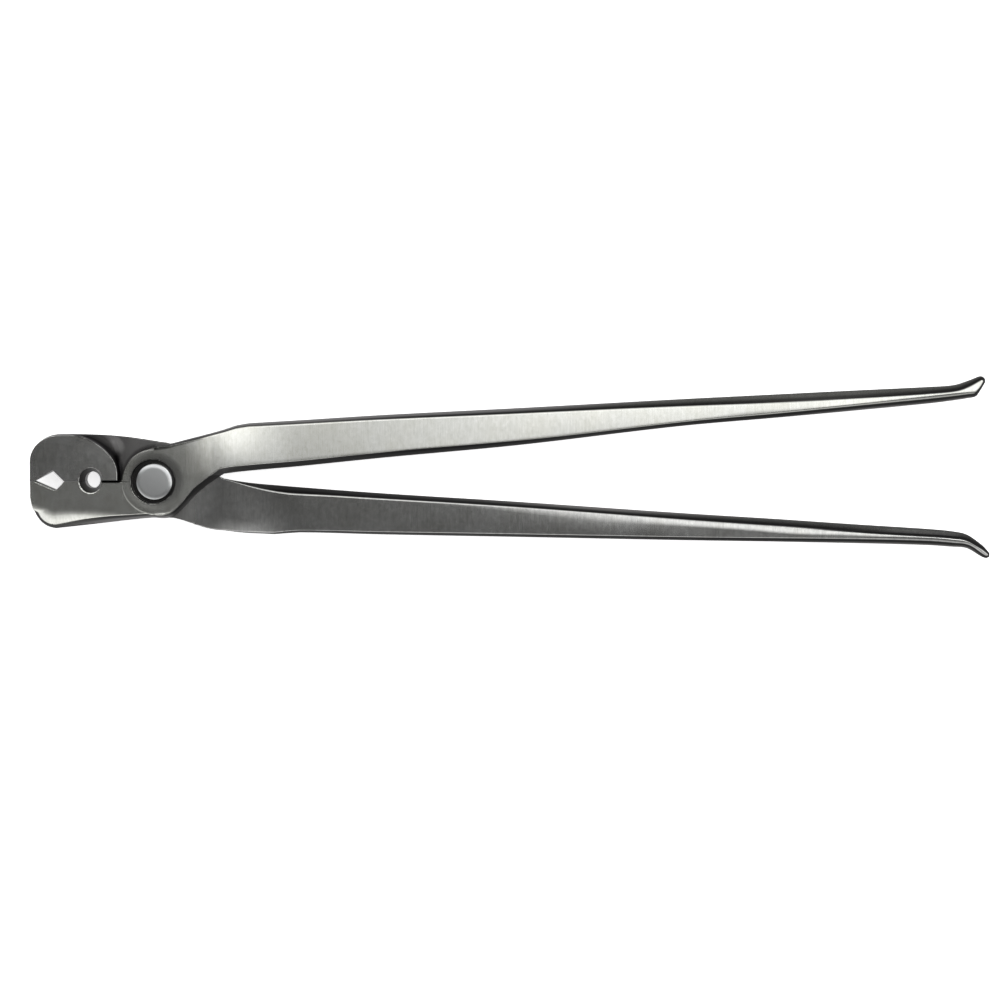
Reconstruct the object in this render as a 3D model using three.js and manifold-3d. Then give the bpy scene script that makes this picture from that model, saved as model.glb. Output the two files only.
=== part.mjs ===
// A long-handled, pliers-type staple remover: two forged steel levers that cross at one riveted lap joint.
//
// Units are millimetres. +X runs from the jaws to the grips, +Y towards the front lever's grip, and
// +Z along the rivet. The origin is on the rivet's axis, in the plane that the tool lies on.
//
// Each lever is made in a frame of its own: the forging's parting plane is z = 0, its jaw is on the -Y side,
// its handle on the +Y side, and its lap faces -Z. The rear lever is then turned half a turn about X.

import * as THREE from "three";
import { mergeVertices } from "three/addons/utils/BufferGeometryUtils.js";
import Module from "manifold-3d";

const wasm = await Module();
wasm.setup();

// Driving dimensions
const HEAD_HALF = 5.5; // half the thickness of the jaws, and the thickness of one lap
const LAP_GAP = 0.15; // from the parting plane to each lap's face
const SEAM_GAP = 0.15; // from the closing plane, y = 0, to each jaw's face
const JAW_TIP_X = -39.9;
const HEAD_DRAFT = 1.3; // how far the forged sides lean in between the parting plane and a face
const BOSS_R = 10.9; // the rounded end of each lap, at the parting plane
const BOSS_PAD_R = 10.4; // the same at its face
const JAW_STEP = 0.15; // the jaw's face starts this far below the boss pad
const NECK_STEP = 0.02; // and the neck's face this far
const JAW_TAPER = 0.05; // how fast each face of the jaw then falls towards the tip, mm per mm

const LAP_RAMP = [20, 44]; // where the lap's face falls away to the handle's far face
const PAD_CENTRE = [-31.4, -2.1]; // the jaw's thick pad ends in a quarter of an ellipse about this point
const PAD_RADIUS_X = 19.7;
const PAD_OVERRUN = 0.5; // the ellipse passes this far behind the jaw's back

const SHANK_R = 4.75;
const BORE_CLEARANCE = 0.1;
const HEAD_R = 5.7; // rivet head
const HEAD_TOP = 1.1; // stands proud of the boss pad
const HEAD_SEAT = 1.3; // depth of its counterbore
const SEAT_R = 6.9;
const HEAD_SEAT_SHIFT = -0.5; // along X: the head's counterbore is cut a little off the rivet's axis
const DISH_R = 8.7; // shallow spot face round the head
const DISH_DEPTH = 0.25;
const TAIL_NECK_R = 4.0; // the shank's thinner end, which passes through the washer
const TAIL_R = 5.3; // closed over the washer
const TAIL_THICKNESS = 0.75;
const WASHER_R = 6.6;
const WASHER_THICKNESS = 1.1;
const WASHER_SEAT = 2.15; // depth of the washer's counterbore
const FIT_GAP = 0.12; // between parts that bear on each other

const ROUND_HOLE = { x: -20.2, y: 0.4, throughR: 2.43, rimR: 3.66, coneDepth: 4.8, stretchY: 1.09 };
const DIAMOND = { left: -38.15, right: -28.7 };
const ROUND_SEGMENTS = 56;
const TALL = 40; // longer than anything that it cuts
const THIN = 0.02; // the straight band between the two drafted halves of a forging
const MERGE_DISTANCE = 0.01; // corners nearer than this are made one
const OVER_SEAM = 4; // how far the jaw's blank is drawn past the seam, before it is cut there

const steel = (color, roughness) =>
  new THREE.MeshStandardMaterial({ color, roughness, metalness: 1 });
const materials = {
  lever: steel(0x9b9b98, 0.38),
  rivet: steel(0xa9aaa8, 0.32),
  washer: steel(0x8b8b88, 0.4),
};

// Each lever's outline at the parting plane, in its own frame.
// The handle's stations are [x, lower edge, upper edge].
const front = {
  jawDepth: 15.0,
  tipCorner: { start: -5, pull: [-39.3, -9.6, -37.4, -14.6], length: 8 },
  jawBack: [[-22, -13.9], [-11, -12.65], [-2.4, -11.75], [3.4, -11.5]],
  shoulder: [[5.8, -10.7], [9.2, -7.3], [15.6, -1.7]],
  neckTop: [[18, 15.5], [14.4, 14.5], [8, 12.8], [3.5, 11.6]],
  apex: { x: -31.4, depth: 2.85 },
  countersunkSide: 1,
  seatDepth: HEAD_SEAT,
  seatShift: HEAD_SEAT_SHIFT,
  dished: true,
  handle: [
    [18, 0.6, 15.3],
    [21.5, 2.3, 16.5],
    [27, 3.0, 18.1],
    [33, 3.6, 18.6],
    [45, 4.65, 19.3],
    [72, 7.4, 21.0],
    [115, 11.4, 23.2],
    [166, 17.4, 26.0],
    [198, 20.2, 27.6],
    [221, 22.3, 28.75],
    [245, 24.6, 29.9],
    [253, 25.6, 30.5],
    [257.5, 26.3, 31.9],
    [260, 26.85, 32.9],
    [261.2, 28.4, 33.35],
    [262.3, 30.2, 33.1],
    [262.9, 31.3, 32.3],
  ],
};
const rear = {
  jawDepth: 14.9,
  tipCorner: { start: -6.2, pull: [-39.9, -11, -35.6, -14.9], length: 9.4 },
  jawBack: [[-22, -14.9], [-11, -14.3], [-2.4, -13.15], [3.6, -12.1]],
  shoulder: [[6.2, -11.1], [9.2, -8.6], [15.5, -3.4]],
  neckTop: [[18, 15.6], [13.8, 14.5], [8.5, 12.6], [3.5, 11.3]],
  apex: { x: -32.3, depth: 3.5 },
  countersunkSide: -1,
  seatDepth: WASHER_SEAT,
  seatShift: 0,
  dished: false,
  handle: [
    [18, -1.8, 15.5],
    [21.5, -0.8, 15.9],
    [27, 0.2, 16.4],
    [33, 0.9, 16.7],
    [38, 1.3, 16.9],
    [45, 1.9, 16.35],
    [72, 3.9, 17.0],
    [115, 6.6, 17.8],
    [166, 10.1, 18.8],
    [198, 12.1, 19.3],
    [223, 13.8, 19.8],
    [245, 15.2, 20.4],
    [252.5, 15.9, 20.9],
    [257.5, 17.0, 21.4],
    [262.2, 20.2, 24.3],
    [263.7, 21.7, 24.8],
    [264.7, 22.9, 24.1],
  ],
};
// [x, half the handle's thickness]
const HANDLE_HALF = [
  [10, 5.5],
  [22, 5.3],
  [45, 4.6],
  [115, 4.2],
  [198, 3.6],
  [245, 3.3],
  [258, 3.1],
  [264.8, 2.2],
];
// [x, lower, upper]: how far the handle's face is set in from its lower and its upper edge
const HANDLE_INSET = [
  [10, 1.8, 0.9],
  [20, 1.9, 0.9],
  [33, 2.4, 1.1],
  [45, 2.1, 1.2],
  [93, 1.8, 1.6],
  [141, 1.7, 1.8],
  [190, 2.2, 2.2],
  [245, 2.2, 2.2],
  [258, 1.5, 1.5],
  [264.8, 0.5, 0.5],
];
const HANDLE_INSET_SHARE = 0.36; // at most this share of the bar's width
const HANDLE_STEPS = 48;
const HANDLE_CROWDING = 0.1; // draws the steps together at the neck and at the tip
const HANDLE_CHAMFER = 0.5;
const HANDLE_CHAMFER_SHARE = 0.12; // at most this share of the bar's width
const CUT_ALLOWANCE = 0.1; // the section runs this far past the lap's face, which is cut back to it
const THINNEST_DRAFT = 0.3; // how far the widest line of the section stays above the lap's face

// Solids and geometries
function toSolid(geometry) {
  const bare = geometry.clone();
  bare.deleteAttribute("normal");
  bare.deleteAttribute("uv");
  const merged = mergeVertices(bare, 1e-4);
  const vertProperties = new Float32Array(merged.attributes.position.array);
  const triVerts = new Uint32Array(merged.index.array);
  const solid = new wasm.Manifold(new wasm.Mesh({ numProp: 3, vertProperties, triVerts }));
  if (solid.volume() > 0) return solid;
  triVerts.reverse(); // an outline drawn the other way round
  return new wasm.Manifold(new wasm.Mesh({ numProp: 3, vertProperties, triVerts }));
}

function toGeometry(solid) {
  const mesh = solid.getMesh();
  const geometry = new THREE.BufferGeometry();
  geometry.setAttribute("position", new THREE.BufferAttribute(mesh.vertProperties, mesh.numProp));
  geometry.setIndex(new THREE.BufferAttribute(mesh.triVerts, 1));
  geometry.computeVertexNormals();
  return geometry;
}

// An outline in the XY plane, raised from z = low to z = high
function prism(shape, low, high, curveSegments = 24) {
  const settings = { depth: high - low, bevelEnabled: false, curveSegments };
  return toSolid(new THREE.ExtrudeGeometry(shape, settings).translate(0, 0, low));
}

// A profile in the XZ plane, drawn out along all of Y
function sideProfile(points) {
  const shape = new THREE.Shape(points.map(([x, z]) => new THREE.Vector2(x, -z)));
  const geometry = new THREE.ExtrudeGeometry(shape, { depth: TALL * 2, bevelEnabled: false });
  return toSolid(geometry.translate(0, 0, -TALL).rotateX(-Math.PI / 2));
}

// A profile of [radius, z] turned about the Z axis
function turned(profile, segments = ROUND_SEGMENTS) {
  const geometry = new THREE.LatheGeometry(profile.map(([r, z]) => new THREE.Vector2(r, z)), segments);
  return toSolid(geometry.rotateX(Math.PI / 2));
}

function cylinder(radius, low, high, segments) {
  return turned([[0, low], [radius, low], [radius, high], [0, high]], segments);
}

// Cubic interpolation through a table whose first column is x
function smooth(table, x, column = 1) {
  const last = table.length - 2;
  let i = 0;
  while (i < last && x > table[i + 1][0]) i += 1;
  const slope = (k) => {
    const a = table[Math.max(k - 1, 0)];
    const b = table[Math.min(k + 1, table.length - 1)];
    return (b[column] - a[column]) / (b[0] - a[0]);
  };
  const [p, q] = [table[i], table[i + 1]];
  const step = q[0] - p[0];
  const t = Math.min(Math.max((x - p[0]) / step, 0), 1);
  const [t2, t3] = [t * t, t * t * t];
  return (
    p[column] * (2 * t3 - 3 * t2 + 1) +
    q[column] * (3 * t2 - 2 * t3) +
    step * slope(i) * (t3 - 2 * t2 + t) +
    step * slope(i + 1) * (t3 - t2)
  );
}

// The lap's face: flat behind the boss, then falling to the handle's far face
function lapFace(x) {
  const [start, end] = LAP_RAMP;
  const t = Math.min(Math.max((x - start) / (end - start), 0), 1);
  return x >= end ? -smooth(HANDLE_HALF, x) : LAP_GAP - t * (smooth(HANDLE_HALF, end) + LAP_GAP);
}

// One closed ring of the handle's section at x
function handleRing(lever, x) {
  const [lower, upper] = [smooth(lever.handle, x, 1), smooth(lever.handle, x, 2)];
  const [top, bottom] = [smooth(HANDLE_HALF, x), lapFace(x) - (x < LAP_RAMP[1] ? CUT_ALLOWANCE : 0)];
  const parting = Math.max(0, bottom + THINNEST_DRAFT);
  const widest = (upper - lower) * HANDLE_INSET_SHARE;
  const drafted = (column, height) => (Math.min(smooth(HANDLE_INSET, x, column), widest) * height) / top;
  const [lowerTop, upperTop] = [1, 2].map((column) => drafted(column, top - parting));
  const [lowerBottom, upperBottom] = [1, 2].map((column) => drafted(column, parting - bottom));
  const c = Math.min(HANDLE_CHAMFER, (parting - bottom) / 2, (upper - lower) * HANDLE_CHAMFER_SHARE);
  return [
    [lower, parting],
    [lower + lowerBottom, bottom + c],
    [lower + lowerBottom + c, bottom],
    [upper - upperBottom - c, bottom],
    [upper - upperBottom, bottom + c],
    [upper, parting],
    [upper - upperTop, top - c],
    [upper - upperTop - c, top],
    [lower + lowerTop + c, top],
    [lower + lowerTop, top - c],
  ].map(([y, z]) => new THREE.Vector3(x, y, z));
}

// A closed skin through rings that all have the same number of points
function loft(rings) {
  const count = rings[0].length;
  const points = rings.flat();
  const index = [];
  for (let r = 0; r + 1 < rings.length; r += 1) {
    for (let k = 0; k < count; k += 1) {
      const [a, b] = [r * count + k, r * count + ((k + 1) % count)];
      index.push(a, a + count, b, b, a + count, b + count);
    }
  }
  const end = (rings.length - 1) * count;
  for (let k = 1; k + 1 < count; k += 1) {
    index.push(0, k, k + 1);
    index.push(end, end + k + 1, end + k);
  }
  const geometry = new THREE.BufferGeometry().setFromPoints(points);
  geometry.setIndex(index);
  return toSolid(geometry);
}

function handleSolid(lever) {
  const first = lever.handle[0][0];
  const last = lever.handle[lever.handle.length - 1][0];
  const rings = [];
  for (let i = 0; i <= HANDLE_STEPS; i += 1) {
    const t = i / HANDLE_STEPS;
    const along = t - HANDLE_CROWDING * Math.sin(2 * Math.PI * t);
    rings.push(handleRing(lever, first + (last - first) * along));
  }
  return loft(rings);
}

// The outline of the jaw and neck at the parting plane, going round from the jaw's tip.
// The boss is added to it.
function headOutline(lever) {
  const [neckX, neckLower, neckUpper] = lever.handle[1];
  const depth = lever.jawDepth;
  const points = (list) => list.map(([x, y]) => new THREE.Vector2(x, y));
  const shape = new THREE.Shape();
  shape.moveTo(JAW_TIP_X, OVER_SEAM);
  shape.lineTo(JAW_TIP_X, lever.tipCorner.start);
  shape.bezierCurveTo(...lever.tipCorner.pull, JAW_TIP_X + lever.tipCorner.length, -depth);
  shape.splineThru(points(lever.jawBack));
  for (const [x, y] of lever.shoulder) shape.lineTo(x, y);
  shape.lineTo(neckX, neckLower);
  shape.lineTo(neckX, neckUpper);
  shape.lineTo(...lever.neckTop[0]);
  shape.splineThru(points(lever.neckTop.slice(1)));
  shape.lineTo(0, BOSS_R - THIN);
  shape.lineTo(0, OVER_SEAM);
  shape.closePath();
  return shape;
}

// The jaw and neck in full thickness, with their drafted sides
function headBlank(lever) {
  const geometry = new THREE.ExtrudeGeometry(headOutline(lever), {
    depth: THIN,
    bevelThickness: HEAD_HALF - NECK_STEP - THIN / 2,
    bevelSize: HEAD_DRAFT,
    bevelOffset: -HEAD_DRAFT,
    bevelSegments: 1,
    curveSegments: 12,
  });
  return toSolid(geometry.translate(0, 0, -THIN / 2));
}

function boss() {
  return turned([
    [0, -HEAD_HALF],
    [BOSS_PAD_R, -HEAD_HALF],
    [BOSS_R, 0],
    [BOSS_PAD_R, HEAD_HALF],
    [0, HEAD_HALF],
  ]);
}

// What is ground away on each face of the jaw, so that it thins towards the tip
function jawTaper(side) {
  const start = HEAD_HALF - JAW_STEP;
  const beyond = JAW_TIP_X - 10;
  return sideProfile([
    [0, side * start],
    [-BOSS_PAD_R, side * start],
    [beyond, side * (start + JAW_TAPER * (beyond + BOSS_PAD_R))],
    [beyond, side * TALL],
    [0, side * TALL],
  ]);
}

// The far side of the seam, where only the boss is left
function beyondSeam() {
  return toSolid(new THREE.BoxGeometry(TALL * 2, TALL, TALL).translate(-TALL, TALL / 2 - SEAM_GAP, 0));
}

// Everything on the far side of the lap's face, except the jaw's full-thickness pad
function lapCut(lever) {
  const [rampStart, rampEnd] = LAP_RAMP;
  const far = lapFace(rampEnd);
  const below = sideProfile([
    [-TALL * 2, LAP_GAP],
    [rampStart, LAP_GAP],
    [rampEnd, far],
    [rampEnd, -TALL],
    [-TALL * 2, -TALL],
  ]);
  const [cx, cy] = PAD_CENTRE;
  const pad = new THREE.Shape();
  pad.moveTo(-TALL * 2, TALL);
  pad.lineTo(-TALL * 2, -TALL);
  pad.lineTo(cx, -TALL);
  pad.lineTo(cx, -lever.jawDepth - PAD_OVERRUN);
  pad.absellipse(cx, cy, PAD_RADIUS_X, lever.jawDepth + cy + PAD_OVERRUN, -Math.PI / 2, 0, false, 0);
  pad.lineTo(cx + PAD_RADIUS_X, TALL);
  pad.closePath();
  return below.subtract(prism(pad, -TALL, TALL, 18));
}

// The half-diamond notch and the half-round hole in the jaw's closing face
function jawHoles(lever) {
  const diamond = new THREE.Shape();
  diamond.moveTo(DIAMOND.left, 0);
  diamond.lineTo(lever.apex.x, -lever.apex.depth);
  diamond.lineTo(DIAMOND.right, 0);
  diamond.lineTo(lever.apex.x, lever.apex.depth);
  diamond.closePath();
  const { x, y, throughR, rimR, coneDepth, stretchY } = ROUND_HOLE;
  const face = lever.countersunkSide * HEAD_HALF;
  const inner = lever.countersunkSide * (HEAD_HALF - coneDepth);
  const cone = [[0, inner], [throughR, inner], [rimR, face], [rimR, face * 2], [0, face * 2]];
  const round = cylinder(throughR, -TALL, TALL, 32).add(turned(cone, 32));
  const hole = round.scale([1, stretchY, 1]).translate([x, y * lever.countersunkSide, 0]);
  return prism(diamond, -TALL, TALL).add(hole);
}

// The bore for the shank, and on the outer face the seat for the rivet's head or for its washer
function rivetSeat(lever) {
  const bore = cylinder(SHANK_R + BORE_CLEARANCE, -TALL, TALL);
  const counterbore = cylinder(SEAT_R, HEAD_HALF - lever.seatDepth, TALL).translate([lever.seatShift, 0, 0]);
  const seat = bore.add(counterbore);
  return lever.dished ? seat.add(cylinder(DISH_R, HEAD_HALF - DISH_DEPTH, TALL)) : seat;
}

function leverSolid(lever) {
  return headBlank(lever)
    .subtract(jawTaper(1))
    .subtract(jawTaper(-1))
    .subtract(beyondSeam())
    .add(boss())
    .add(handleSolid(lever))
    .subtract(lapCut(lever))
    .subtract(jawHoles(lever))
    .subtract(rivetSeat(lever))
    .simplify(MERGE_DISTANCE);
}

// The rivet as it is once closed: head, shank, shoulder, and the tail set over the washer
function rivetSolid() {
  const seat = 2 * HEAD_HALF - HEAD_SEAT + FIT_GAP;
  const top = 2 * HEAD_HALF + HEAD_TOP;
  const shoulder = WASHER_SEAT + FIT_GAP;
  return turned([
    [0, 0],
    [TAIL_R - 0.4, 0],
    [TAIL_R, 0.4],
    [TAIL_R, TAIL_THICKNESS],
    [TAIL_NECK_R, TAIL_THICKNESS],
    [TAIL_NECK_R, shoulder],
    [SHANK_R, shoulder],
    [SHANK_R, seat],
    [HEAD_R, seat],
    [HEAD_R, top - 0.7],
    [HEAD_R - 0.25, top - 0.3],
    [HEAD_R - 0.8, top - 0.08],
    [0, top],
  ]);
}

function washerSolid() {
  const low = TAIL_THICKNESS + FIT_GAP;
  const high = low + WASHER_THICKNESS;
  const hole = TAIL_NECK_R + BORE_CLEARANCE;
  return turned([
    [hole, low],
    [WASHER_R - 0.3, low],
    [WASHER_R, low + 0.3],
    [WASHER_R, high],
    [hole, high],
    [hole, low],
  ]);
}

function part(name, solid, material) {
  const mesh = new THREE.Mesh(toGeometry(solid), material);
  mesh.name = name;
  return mesh;
}

const frontLever = part("front_lever", leverSolid(front), materials.lever);
frontLever.position.z = HEAD_HALF;

const rearLever = part("rear_lever", leverSolid(rear), materials.lever);
rearLever.rotation.x = Math.PI;
rearLever.position.z = HEAD_HALF;

const stapleRemover = new THREE.Group();
stapleRemover.add(
  frontLever,
  rearLever,
  part("pivot_rivet", rivetSolid(), materials.rivet),
  part("rivet_washer", washerSolid(), materials.washer),
);

export default stapleRemover;
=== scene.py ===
"""The looks of a long-handled staple remover: two forged, satin-ground steel levers on one rivet.

Shapes are worked out in millimetres, each lever in its own frame: the forging's parting plane is z = 0,
the jaw is on the -Y side, the handle on the +Y side, and the lap faces -Z. The rear lever is then turned
over about X. A lever is the zero level of a rounded distance field, meshed on a grid that follows its taper.
"""

import math
from types import SimpleNamespace

import bpy
import numpy as np
from mathutils import Matrix, Vector


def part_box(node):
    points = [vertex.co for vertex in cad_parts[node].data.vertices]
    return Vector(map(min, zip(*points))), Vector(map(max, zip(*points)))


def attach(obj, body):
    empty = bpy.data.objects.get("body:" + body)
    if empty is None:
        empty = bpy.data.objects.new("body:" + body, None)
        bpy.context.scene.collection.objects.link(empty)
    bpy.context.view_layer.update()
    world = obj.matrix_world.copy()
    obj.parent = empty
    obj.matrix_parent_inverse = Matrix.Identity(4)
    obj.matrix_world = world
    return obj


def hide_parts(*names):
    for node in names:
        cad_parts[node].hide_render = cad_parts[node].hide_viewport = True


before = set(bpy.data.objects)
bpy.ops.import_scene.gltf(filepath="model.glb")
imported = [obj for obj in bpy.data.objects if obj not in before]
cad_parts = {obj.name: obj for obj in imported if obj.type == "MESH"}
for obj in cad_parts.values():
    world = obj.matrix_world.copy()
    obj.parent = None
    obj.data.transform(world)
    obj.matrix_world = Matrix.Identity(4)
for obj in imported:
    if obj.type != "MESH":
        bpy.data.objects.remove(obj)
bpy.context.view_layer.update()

MM = 0.001
PARTING_Z = 1000 * (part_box("front_lever")[1].z) / 2  # the parting plane's height over the resting plane
FLOOR_Z = -0.0002  # in metres, just under the resting plane

# ---------------------------------------------------------------- driving sizes, in millimetres
HEAD_HALF = 5.5  # from the parting plane to the head's faces
LAP_GAP = 0.15  # from the parting plane to each lap's face
JAW_TIP_X = -39.9
BOSS_R = 10.9
BOSS_PAD_R = 10.3  # the raised pad round the rivet
BOSS_DRAFT = 0.5  # how far the boss's wall leans in over its height
JAW_STEP = 0.13  # how far the jaw's face lies below the boss's pad
JAW_TAPER = 0.0017  # how the jaws thin towards their tip, for each millimetre squared
SEAM_GAP = 0.015  # where the jaws touch
SLOT_START, SLOT_FULL = -17.3, -16.7  # from here towards the boss a groove runs along the seam
SLOT_GAP = 0.25  # half the groove's width
SLOT_FLOOR, SLOT_WALL = 2.2, 1.4  # the groove's depth, and how deep its walls stay upright
LAP_RAMP = (18.0, 45.0)  # where the lap's flat falls away to the handle's far face
OVER_SEAM = 4.0  # how far the jaw's outline runs past the seam, before the seam cuts it
PARTING_RIDGE = 0.6  # how softly the walls meet at the parting plane
PAD_LEAN = 0.02  # how the jaw's pad falls away towards the jaw's back
NECK_END = -1.5  # where the neck's top edge runs out on the boss

SHANK_R = 4.75
HEAD_R = 5.7
HEAD_TOP = 1.1  # how far the rivet's head stands over the front face
SEAT_R = 6.92
SEAT_DEPTH = 1.3
SEAT_SHIFT = -0.5  # the counterbore is a little off the rivet's axis
DISH_R = 8.8  # a faint hollow that the rivet's head was pressed into
DISH_DEPTH = 0.07
WASHER_SEAT_R = 6.9
WASHER_SEAT_DEPTH = 2.15

HOLE_X, HOLE_Y, HOLE_R = -20.2, 0.4, 2.43
HOLE_RIM_R, HOLE_CONE = 3.66, 4.8  # the countersink's radius at the face, and its depth
HOLE_STRETCH = 1.09  # the round hole is a little taller than it is wide
DIAMOND_LEFT, DIAMOND_RIGHT = -38.15, -28.7
DIAMOND_LEAN, APEX_LEAN = 0.08, 0.05  # how the diamond widens with depth: its left corner, the front's apex

TURNED_OVER = (1, -1, -1)  # the rear lever, half a turn about X
SLOPE_STEP = 0.04  # for the field's gradient
LEAST_SLOPE2 = 0.2  # the least squared slope that the field is taken to have
LONGEST_MOVE = 0.1  # of a vertex towards the field's zero level, in one go
HANDLE_START = 18  # from here on the outline has a handle's two sides
EDGE_ROUND = 0.12  # at the rims of the bore, the seats and the holes
HANDLE_HALF = [
    (10, 5.5), (22, 5.3), (45, 4.6), (115, 4.2), (198, 3.6), (245, 3.3), (258, 3.1), (264.8, 2.2),
]

# Each lever's shape.
# corner: where the jaw's rounded corner starts, its two pulls, and its length.
# The flash line's table: how bright the trimmed flash line, with its painted highlight, is along x, on the
# lower side and on the upper side.
# tilt: x, then a face's slopes at its lower edge, middle and upper edge, and where the middle lies.
# outer_edge, lap_edge: x, then the radius of a face's lower and upper edge.
# handle: x, then its lower and its upper side.
FRONT = {
    "name": "front_lever",
    "depth": 15.0,
    "corner": (-5.0, (-39.3, -9.6), (-37.4, -14.6), 8.0),
    "back": [(-22, -13.9), (-11, -12.65), (-2.4, -11.75), (3.4, -11.5)],
    "shoulder": [(5.8, -10.7), (9.2, -7.3), (15.6, -1.7)],
    "neck_top": [(18, 15.5), (14.4, 14.5), (8, 12.8), (3.5, 11.6)],
    "apex": (-31.4, 2.85),
    "hole_side": 1,
    "flash_highlight": (
        [(-40, 0.1), (-30, 0.4), (-22, 1.2), (-12, 2), (8, 2), (14, 0.2), (190, 0), (240, 1.4), (265, 1.4)],
        [(-40, 0), (10, 0.3), (20, 1.2), (265, 1.6)],
    ),
    "tilt": [
        (6, 0.0, 0.0, 0.0, -0.6), (12, 0.0, 0.01, 0.02, -0.6), (18, 0.0, 0.03, 0.06, -0.6),
        (27, -0.02, 0.04, 0.14, -0.6), (36, -0.05, 0.04, 0.08, -0.6), (45, -0.05, 0.04, 0.05, -0.6),
        (93, -0.05, 0.05, 0.055, -0.6), (141, -0.06, 0.045, 0.08, -0.55), (172, -0.1, 0.05, 0.08, -0.45),
        (190, -0.12, 0.05, 0.08, -0.22), (219, -0.14, 0.07, 0.08, -0.22), (235, -0.18, 0.08, 0.08, 0.0),
        (265, -0.1, 0.06, 0.06, 0.0),
    ],
    "outer_edge": [
        (-40, 0.15, 0.15), (8, 0.15, 0.12), (20, 0.12, 0.3), (93, 0.12, 0.35), (200, 0.5, 0.3),
        (265, 0.6, 0.4),
    ],
    "lap_edge": [
        (-40, 0.15, 0.15), (10, 0.2, 0.2), (45, 0.8, 0.5), (200, 0.8, 0.6), (265, 0.8, 0.8),
    ],
    "handle": [
        (18, 0.6, 15.3), (21.5, 2.3, 16.5), (27, 3.0, 18.1), (33, 3.6, 18.6), (45, 4.65, 19.3),
        (72, 7.4, 21.0), (115, 11.4, 23.2), (166, 17.4, 26.0), (198, 20.2, 27.6), (221, 22.3, 28.75),
        (245, 24.6, 29.9), (253, 25.6, 30.5), (257.5, 26.3, 31.9), (260, 26.85, 32.9), (261.2, 28.4, 33.3),
        (262.3, 30.2, 33.05), (262.9, 31.3, 32.3),
    ],
}
REAR = {
    "name": "rear_lever",
    "depth": 14.9,
    "corner": (-6.2, (-39.9, -11), (-35.6, -14.9), 9.4),
    "back": [(-22, -14.9), (-11, -14.3), (-2.4, -13.15), (3.6, -12.1)],
    "shoulder": [(6.2, -11.1), (9.2, -8.6), (15.5, -3.4)],
    "neck_top": [(18, 15.6), (13.8, 14.5), (8.5, 12.6), (3.5, 11.3)],
    "apex": (-32.3, 3.5),
    "hole_side": -1,
    "flash_highlight": (
        [(-40, 0.2), (93, 0.1), (150, 1.5), (265, 1.6)],
        [(-40, 0.1), (190, 0.1), (240, 1.2), (265, 1.4)],
    ),
    "tilt": [
        (6, 0.0, 0.0, 0.0, 0.2), (12, 0.0, 0.02, 0.1, 0.3), (27, 0.02, 0.04, 0.3, 0.5),
        (36, -0.02, 0.03, 0.15, 0.2), (45, -0.06, 0.02, 0.05, -0.6), (93, -0.11, 0.015, 0.03, -0.6),
        (141, -0.15, -0.01, 0.06, -0.1), (156, -0.24, 0.0, 0.06, -0.05), (172, -0.42, 0.02, 0.03, 0.0),
        (190, -0.5, 0.03, 0.03, 0.15), (203, -0.6, 0.03, 0.03, 0.3), (219, -0.6, 0.02, 0.02, 0.2),
        (245, -0.6, 0.01, 0.02, 0.2), (265, -0.1, 0.0, 0.03, 0.1),
    ],
    "outer_edge": [
        (-40, 0.2, 0.2), (8, 0.2, 0.2), (20, 0.5, 0.4), (93, 0.7, 0.4), (200, 0.6, 0.6), (265, 0.7, 0.8),
    ],
    "lap_edge": [
        (-40, 0.15, 0.15), (10, 0.2, 0.2), (27, 0.3, 0.6), (45, 0.4, 0.3), (93, 0.35, 0.4), (141, 0.3, 0.4),
        (200, 0.3, 0.4), (265, 0.4, 0.8),
    ],
    "handle": [
        (18, -1.8, 15.5), (21.5, -0.8, 15.9), (27, 0.2, 16.4), (33, 0.9, 16.7), (38, 1.3, 16.9),
        (45, 1.9, 16.35), (72, 3.9, 17.0), (115, 6.6, 17.8), (166, 10.1, 18.8), (198, 12.1, 19.3),
        (223, 13.8, 19.8), (245, 15.2, 20.4), (252.5, 15.9, 20.9), (257.5, 17.0, 21.4), (262.2, 20.2, 24.1),
        (263.7, 21.7, 24.55), (264.7, 22.9, 24.1),
    ],
}
# The roll ground along the jaw's back: its width and its drop, along x
JAW_ROLL = [
    (-42, 3.0, 0.4), (-38, 4.8, 0.95), (-33, 5.9, 1.4), (-28, 5.6, 1.3), (-24, 5.0, 1.0), (-17, 4.2, 0.5),
    (-11, 2.8, 0.2), (-6, 1.0, 0.0), (20, 1.0, 0.0),
]
# How far a face is set in from the edge below it, along x: on the outer side and on the lap's side
OUTER_LOWER = [
    (-40, 1.7), (-30, 2.6), (-24, 2.85), (-16, 2.6), (-8, 2.1), (-2, 1.9), (4, 2.1), (8, 2.0), (16, 1.9),
    (22, 2.2), (33, 2.2), (45, 2.1), (93, 2.1), (141, 1.5), (190, 1.6), (245, 2.0), (258, 1.6), (265, 0.8),
]
OUTER_UPPER = [
    (-40, 0.4), (0, 0.6), (12, 0.9), (27, 1.4), (45, 1.5), (93, 2.0), (141, 2.5), (190, 3.3), (219, 3.3),
    (240, 3.0), (250, 2.7), (258, 2.3), (265, 0.8),
]
LAP_LOWER = [
    (-40, 0.35), (0, 0.5), (14, 0.9), (20, 1.8), (30, 2.7), (45, 2.2), (60, 1.8), (93, 1.6), (141, 2.0),
    (190, 2.7), (219, 3.1), (236, 3.4), (250, 3.2), (258, 2.6), (265, 0.8),
]
LAP_UPPER = [
    (-40, 0.35), (0, 0.5), (20, 0.6), (45, 1.0), (93, 1.2), (141, 1.3), (190, 1.5), (245, 2.0), (258, 1.6),
    (265, 0.8),
]


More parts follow.
